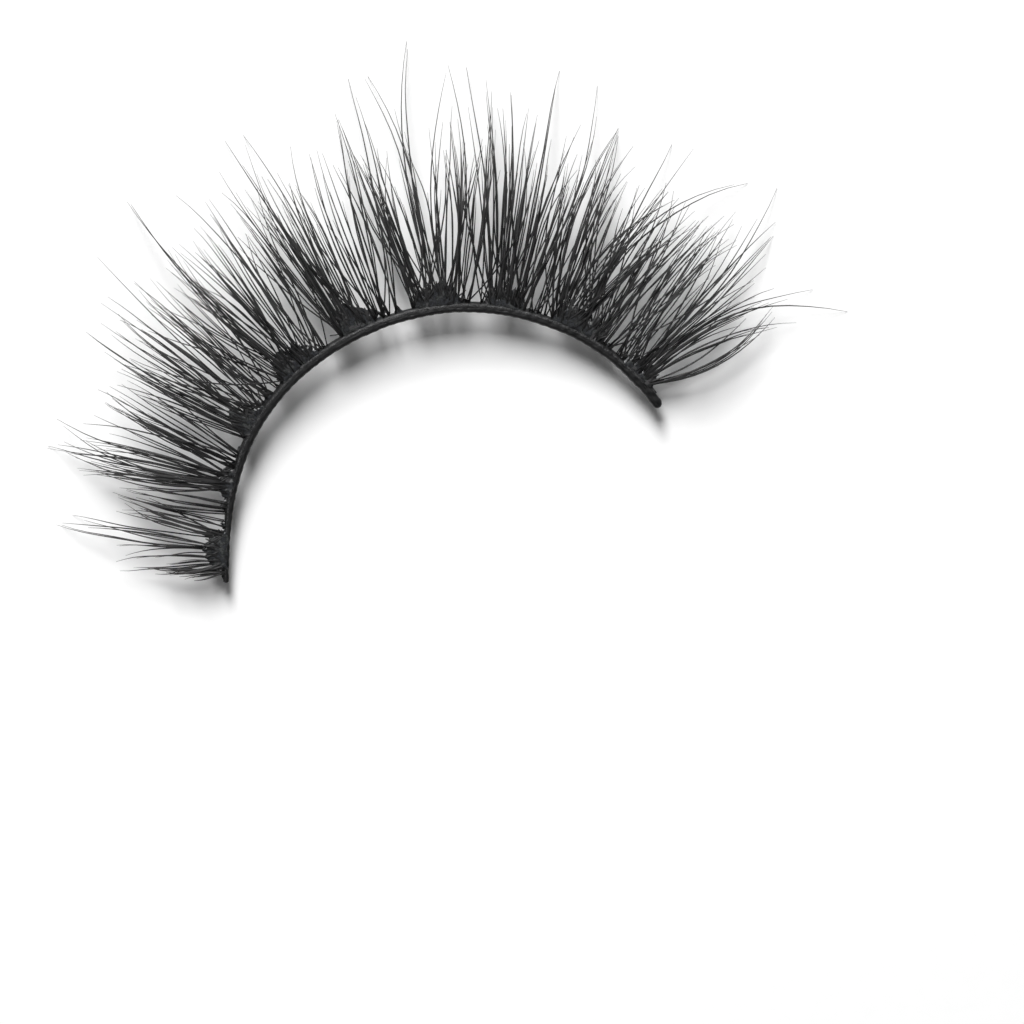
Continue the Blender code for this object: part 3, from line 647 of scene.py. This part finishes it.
def glueSheet(span, shape, rng):
    start, end = span
    pitch = shape["noisePitch"]
    length = (end - start) * strip["bandLength"]
    columns = max(shape["fewestColumns"], round(length / shape["columnPitch"]))
    share = np.linspace(start, end, columns + 1)
    face = outerFaceAt(share)
    edge = np.array(shape["edge"])
    margin = shape["edgeMargin"]
    fine = np.linspace(start - margin, end + margin, shape["edgeSteps"] * columns)
    padded = np.pad(np.interp(fine, edge[:, 0], edge[:, 1]), shape["edgeKernel"] // 2, mode="edge")
    kernel = np.hanning(shape["edgeKernel"])
    smooth = np.convolve(padded, kernel / kernel.sum(), "valid")
    reach = np.interp(share, fine, smooth)
    place = share * strip["bandLength"]
    ragged = smoothNoise(place, pitch["ragged"], rng) - shape["raggedBias"]
    reach = reach * (1 + shape["ragged"] * ragged)
    overlap = 1 + shape["overlapRagged"] * smoothNoise(place, pitch["overlap"], rng)
    inner = face - shape["bandOverlap"] * overlap
    reach = np.maximum(reach, face + shape["leastReach"])
    part = np.sin(np.linspace(0, 1, shape["rows"]) * math.pi / 2)[None, :]
    radial = inner[:, None] + (reach - inner)[:, None] * part
    shares = np.repeat(share[:, None], shape["rows"], axis=1)
    x, y = chart(shares, radial)
    rise = (radial - face[:, None]) * np.tan(rootAngleAt(share))[:, None]
    middle = bandHeightAt(share)[:, None] + rise
    small = np.clip((reach - face) / shape["fullReach"], shape["thinnest"], 1.0)[:, None]
    thinning = shape["edgeThickness"] - shape["bandThickness"]
    thick = shape["bandThickness"] + thinning * part ** 1.3
    half = thick / 2 * small * np.sqrt(np.clip(1 - part ** 6, 0.02, 1))  # round at the edge
    phase = 2 * math.pi * place / shape["ribPitch"]
    phase = phase + shape["ribWander"] * smoothNoise(place, pitch["rib"], rng)
    ribs = shape["ribHeight"] * np.cos(phase)[:, None] * np.clip(part * 1.4 - 0.3, 0, 1) * small
    spots = place[:, None] + shape["lumpSkew"] * radial
    lumps = shape["lump"] * smoothNoise(spots, pitch["lump"], rng) * small
    top = np.stack([x, y, middle + half + ribs + lumps], axis=2)
    bottom = np.stack([x, y, middle - half + 0.6 * ribs - 0.4 * lumps], axis=2)
    points = np.concatenate([top.reshape(-1, 3), bottom.reshape(-1, 3)])
    rows = shape["rows"]
    ids = np.arange((columns + 1) * rows).reshape(columns + 1, rows)
    under = ids + ids.size
    faces = np.stack([ids[:-1, :-1], ids[1:, :-1], ids[1:, 1:], ids[:-1, 1:]], axis=2).reshape(-1, 4)
    faces = faces.tolist()
    faces += [quad[::-1] for quad in (np.array(faces) + ids.size).tolist()]
    rim = np.concatenate([ids[:-1, 0], ids[-1, :-1], ids[:0:-1, -1], ids[0, :0:-1]])
    rimUnder = np.concatenate([under[:-1, 0], under[-1, :-1], under[:0:-1, -1], under[0, :0:-1]])
    for index in range(len(rim)):
        after = (index + 1) % len(rim)
        faces.append([int(rim[after]), int(rim[index]), int(rimUnder[index]), int(rimUnder[after])])
    return points, faces


def stubLines(span, shape, rng, rings):
    # short fibre ends that lie across the glue, most of them close to the hair's direction
    start, end = span
    edge = np.array(shape["edge"])
    count = round((end - start) * strip["bandLength"] * shape["stubsPerMm"])
    share = rng.uniform(start, end, count)
    room = np.interp(share, edge[:, 0], edge[:, 1]) - outerFaceAt(share)
    share = share[room > shape["stubRoom"]]
    room = room[room > shape["stubRoom"]]
    count = len(share)
    low, high = shape["stubLength"]
    length = np.minimum(rng.uniform(low, high, count), room)
    turn = np.radians(rng.normal(0, shape["stubTurnDeg"], count))
    first = outerFaceAt(share) + rng.uniform(0.0, 1.0, count) * np.maximum(room - length, 0.05)
    part = np.linspace(0, 1, rings)[None, :]
    reach = first[:, None] + part * (length * np.cos(turn))[:, None]
    shares = share[:, None] + part * (length * np.sin(turn))[:, None] / strip["bandLength"]
    x, y = chart(shares, reach)
    rise = (reach - outerFaceAt(shares)) * np.tan(rootAngleAt(shares))
    arch = shape["stubArch"] * np.sin(math.pi * part)
    z = bandHeightAt(shares) + rise + arch + rng.uniform(*shape["stubRise"], count)[:, None]
    return np.stack([x, y, z], axis=2)


def makeTuftPiece(node, seed):
    # one node's hair and glue in one mesh; returns how many hairs it has
    rng = np.random.default_rng(seed)
    style, span = hairStyle, glueShape["spans"][node]
    root, tip, reach, length, bow = combTufts(tufts[node], style, rng)
    lines, steps = hairPoints(root, tip, reach, length, bow, style, rng)
    hairs = len(root)
    thin = np.clip((steps - style["taperFrom"]) / (1 - style["taperFrom"]), 0, 1)
    thinning = (style["tipDiameter"] - style["rootDiameter"]) * thin ** style["taperPower"]
    diameter = style["rootDiameter"] + thinning
    sizes = rng.normal(1.0, style["sizeSpread"], hairs).clip(*style["sizeLimits"])
    radii = diameter[None, :] / 2 * sizes[:, None]
    stubs = stubLines(span, glueShape, rng, style["rings"])
    stubRadii = np.full((len(stubs), style["rings"]), glueShape["stubDiameter"] / 2)
    stubRadii[:, [0, -1]] *= glueShape["stubEnd"]
    lines = np.concatenate([lines, stubs])
    radii = np.concatenate([radii, stubRadii])
    points, faces = tubeMesh(lines, radii, style["sides"])
    perHair = style["rings"] * style["sides"]
    tone = np.repeat(rng.uniform(0, 1, len(lines)), perHair)
    along = np.tile(np.repeat(steps, style["sides"]), hairs)
    gluePoints, glueFaces = glueSheet(span, glueShape, rng)
    materialIndex = [0] * len(faces) + [1] * len(glueFaces)
    faces += (np.array(glueFaces) + len(points)).tolist()
    values = {
        "fibreTone": np.concatenate([tone, np.zeros(len(gluePoints))]),
        "fibreAlong": np.concatenate([along, np.zeros(len(stubs) * perHair + len(gluePoints))]),
    }
    addPiece(f"{node}_hair", node, np.concatenate([points, gluePoints]), faces,
             [fibre, glue], materialIndex, values)
    return hairs


hairTotal = 0
firstSeed = 100
for order, node in enumerate(tufts):
    hairTotal += makeTuftPiece(node, firstSeed + order)
print("hair set,", hairTotal, "hairs")

# Band
bandShape = {
    "pitch": 0.085,          # mm between rings
    "sides": 28,
    "squareness": 2.6,       # of its section: 2 is round, more is flatter
    "ripplePitch": 0.52,     # mm, the cord's twist under the coat
    "rippleSkew": 2.0,
    "rippleWander": 1.6,     # radians
    "ripple": 0.010,
    "wobble": 0.016,         # mm, uneven width
    "sway": 0.10,            # of the half width, by which the ridge moves
    "ridgeBreaks": 0.35,
    "ridgeAt": 0.36,         # of the half width, towards the hair
    "ridgeWidth": 0.17,
    "ridgeHeight": 0.030,
    "grooveAt": -0.02,
    "grooveWidth": 0.16,
    "grooveDepth": 0.045,
    "grooveOffTab": 0.35,    # of its depth, where the band isn't the bare tab
    "tabFrom": 0.955,        # share where the bare tab starts
    "tabBlend": 0.012,
    "tabNarrowing": 0.15,    # of its width and height
    "overrun": 0.22,         # mm that the rounded coat runs on past the cord's cut end
    "endSteps": 9,           # rings that round each end
    "endInset": 0.004,       # mm from the very tip to the first ring
    "noisePitch": {"ripple": 1.3, "wobble": 0.8, "sway": 0.9, "ridge": 0.35},  # mm
    "seed": 31,
}


def makeBand(shape):
    rng = np.random.default_rng(shape["seed"])
    pitch = shape["noisePitch"]
    length = strip["bandLength"] + shape["overrun"]
    innerRadius = bandSizeAt(0.0) * strip["bandWidth"] / 2
    outerRadius = bandSizeAt(1.0) * strip["bandWidth"] / 2
    rounds = 1 - np.cos(np.linspace(0, math.pi / 2, shape["endSteps"])[1:-1])
    middle = np.arange(innerRadius, length - outerRadius, shape["pitch"])
    places = np.concatenate([innerRadius * rounds, middle, length - outerRadius * rounds[::-1]])
    places = np.unique(np.clip(places, shape["endInset"], length - shape["endInset"]))
    share = places / strip["bandLength"]

    # Size of the section at each ring, with both ends rounded off
    ends = np.ones(len(places))
    low = places < innerRadius
    ends[low] = np.sqrt(1 - (1 - places[low] / innerRadius) ** 2)
    high = length - places < outerRadius
    ends[high] = np.sqrt(1 - (1 - (length - places[high]) / outerRadius) ** 2)
    tab = np.clip((share - shape["tabFrom"]) / shape["tabBlend"], 0, 1)
    size = (bandSizeAt(share) * ends * (1 - shape["tabNarrowing"] * tab))[:, None]
    ends = ends[:, None]
    tab = tab[:, None]

    turn = np.linspace(0, 2 * math.pi, shape["sides"], endpoint=False)
    power = 2 / shape["squareness"]
    across = (np.sign(np.cos(turn)) * np.abs(np.cos(turn)) ** power)[None, :]
    lift = (np.sign(np.sin(turn)) * np.abs(np.sin(turn)) ** power)[None, :]
    phase = 2 * math.pi * places / shape["ripplePitch"]
    phase = phase + shape["rippleWander"] * smoothNoise(places, pitch["ripple"], rng)
    ripple = shape["ripple"] * np.cos(phase[:, None] - shape["rippleSkew"] * across)
    wobble = shape["wobble"] * smoothNoise(places, pitch["wobble"], rng)[:, None]
    halfWide = strip["bandWidth"] / 2 * size + (ripple + wobble) * ends
    halfHigh = strip["bandHeight"] / 2 * size + 0.7 * ripple * ends

    # Ridge beside the hair and groove along the middle, both on the upper side only
    sway = shape["sway"] * smoothNoise(places, pitch["sway"], rng)[:, None]
    ridge = np.exp(-((across - shape["ridgeAt"] - sway) / shape["ridgeWidth"]) ** 2)
    breaks = shape["ridgeBreaks"] * smoothNoise(places, pitch["ridge"], rng)[:, None]
    broken = 1 - shape["ridgeBreaks"] + breaks
    groove = np.exp(-((across - shape["grooveAt"]) / shape["grooveWidth"]) ** 2)
    grooved = shape["grooveOffTab"] + (1 - shape["grooveOffTab"]) * tab
    onTop = np.clip(lift, 0, 1)
    relief = shape["ridgeHeight"] * ridge * broken * (1 - tab)
    relief = relief - shape["grooveDepth"] * groove * grooved

    reach = across * halfWide
    shares = np.repeat(share[:, None], shape["sides"], axis=1)
    x, y = chart(shares, reach)
    z = bandHeightAt(shares) + lift * halfHigh + relief * onTop * ends
    ids = np.arange(x.size).reshape(x.shape)
    after = np.roll(ids, -1, axis=1)
    faces = np.stack([ids[:-1], after[:-1], after[1:], ids[1:]], axis=2).reshape(-1, 4).tolist()
    faces.append(ids[0].tolist()[::-1])
    faces.append(ids[-1].tolist())
    points = np.stack([x, y, z], axis=2).reshape(-1, 3)
    alongCord = np.repeat(places[:, None], shape["sides"], axis=1)
    values = {
        "cordPlace": np.stack([alongCord, reach, lift * halfHigh], axis=2).reshape(-1, 3),
        # mask of the painted highlight specks: the ridge on its upper side, off the tab
        "cordRidge": (ridge * onTop * (1 - tab)).reshape(-1),
    }
    return addPiece("band_cord", "band", points, faces, [cord], None, values)


makeBand(bandShape)
print("band made")

# Studio
studio = {
    "photoTurnDeg": 22.62,       # how far the photo is turned against the row's frame
    "photoCentre": (0.00100, -0.01371),
    "frameWidth": 0.05470,       # m across the photo at the height below
    "sharpHeight": 0.0020,
    "cameraDistance": 0.60,
    "sensorWidth": 36.0,
    "floorSide": 3.0,            # m
    "floorColor": (0.90, 0.90, 0.90),
    "floorGrain": 0.99,          # its darkest grain, times its colour
    "floorRoughness": 0.75,
    "skyStrength": 0.13,
    "lamps": {                   # W, m wide and tall, degrees left of the photo's top and up
        "keySoftbox": {"power": 9.0, "size": (0.21, 0.46), "sideDeg": 12.0, "riseDeg": 54.0},
    },
    "lampDistance": 0.80,
}


def addCamera(settings):
    data = bpy.data.cameras.new("photoCamera")
    data.sensor_width = settings["sensorWidth"]
    flat = settings["cameraDistance"]
    data.lens = settings["sensorWidth"] * flat / settings["frameWidth"]
    data.clip_start = 0.01
    data.clip_end = 20.0
    camera = bpy.data.objects.new("photoCamera", data)
    x, y = settings["photoCentre"]
    camera.location = (x, y, settings["sharpHeight"] + flat)
    camera.rotation_euler = (0.0, 0.0, -math.radians(settings["photoTurnDeg"]))
    bpy.context.scene.collection.objects.link(camera)
    bpy.context.scene.camera = camera


def addLamp(name, settings):
    # the photo's top points to (sin, cos) of its turn, and the lamp stands beyond that edge
    lampStyle = settings["lamps"][name]
    bearing = math.radians(90.0 - settings["photoTurnDeg"] + lampStyle["sideDeg"])
    rise = math.radians(lampStyle["riseDeg"])
    flat = math.cos(rise)
    toLamp = Vector((math.cos(bearing) * flat, math.sin(bearing) * flat, math.sin(rise)))
    data = bpy.data.lights.new(name, "AREA")
    data.shape = "RECTANGLE"
    data.size, data.size_y = lampStyle["size"]
    data.energy = lampStyle["power"]
    lamp = bpy.data.objects.new(name, data)
    lamp.location = toLamp * settings["lampDistance"]
    lamp.rotation_euler = (-toLamp).to_track_quat("-Z", "Y").to_euler()
    bpy.context.scene.collection.objects.link(lamp)


def addFloor(settings):
    mesh = bpy.data.meshes.new("floor")
    half = settings["floorSide"] / 2
    corners = [(-half, -half, 0), (half, -half, 0), (half, half, 0), (-half, half, 0)]
    mesh.from_pydata(corners, [], [(0, 1, 2, 3)])
    floor = bpy.data.objects.new("floor", mesh)
    bpy.context.scene.collection.objects.link(floor)
    material, nodes, links, shader = startMaterial("paleFloor")
    place = nodes.new("ShaderNodeTexCoord").outputs["Object"]
    grain = addNoise(nodes, links, place, 900.0, 3.0)
    pale = settings["floorColor"]
    darker = tuple(settings["floorGrain"] * part for part in pale)
    color = addRamp(nodes, links, grain, ((0.3, darker), (0.7, pale)))
    links.new(color, shader.inputs["Base Color"])
    shader.inputs["Roughness"].default_value = settings["floorRoughness"]
    shader.inputs["Specular IOR Level"].default_value = 0.2
    mesh.materials.append(material)


def addSky(settings):
    world = bpy.data.worlds.new("studioSky")
    world.use_nodes = True
    background = world.node_tree.nodes["Background"]
    background.inputs["Color"].default_value = (1.0, 1.0, 1.0, 1.0)
    background.inputs["Strength"].default_value = settings["skyStrength"]
    bpy.context.scene.world = world


addCamera(studio)
addFloor(studio)
for lampName in studio["lamps"]:
    addLamp(lampName, studio)
addSky(studio)
bpy.context.scene.view_settings.view_transform = "Standard"
print("studio set")

bpy.context.view_layer.update()
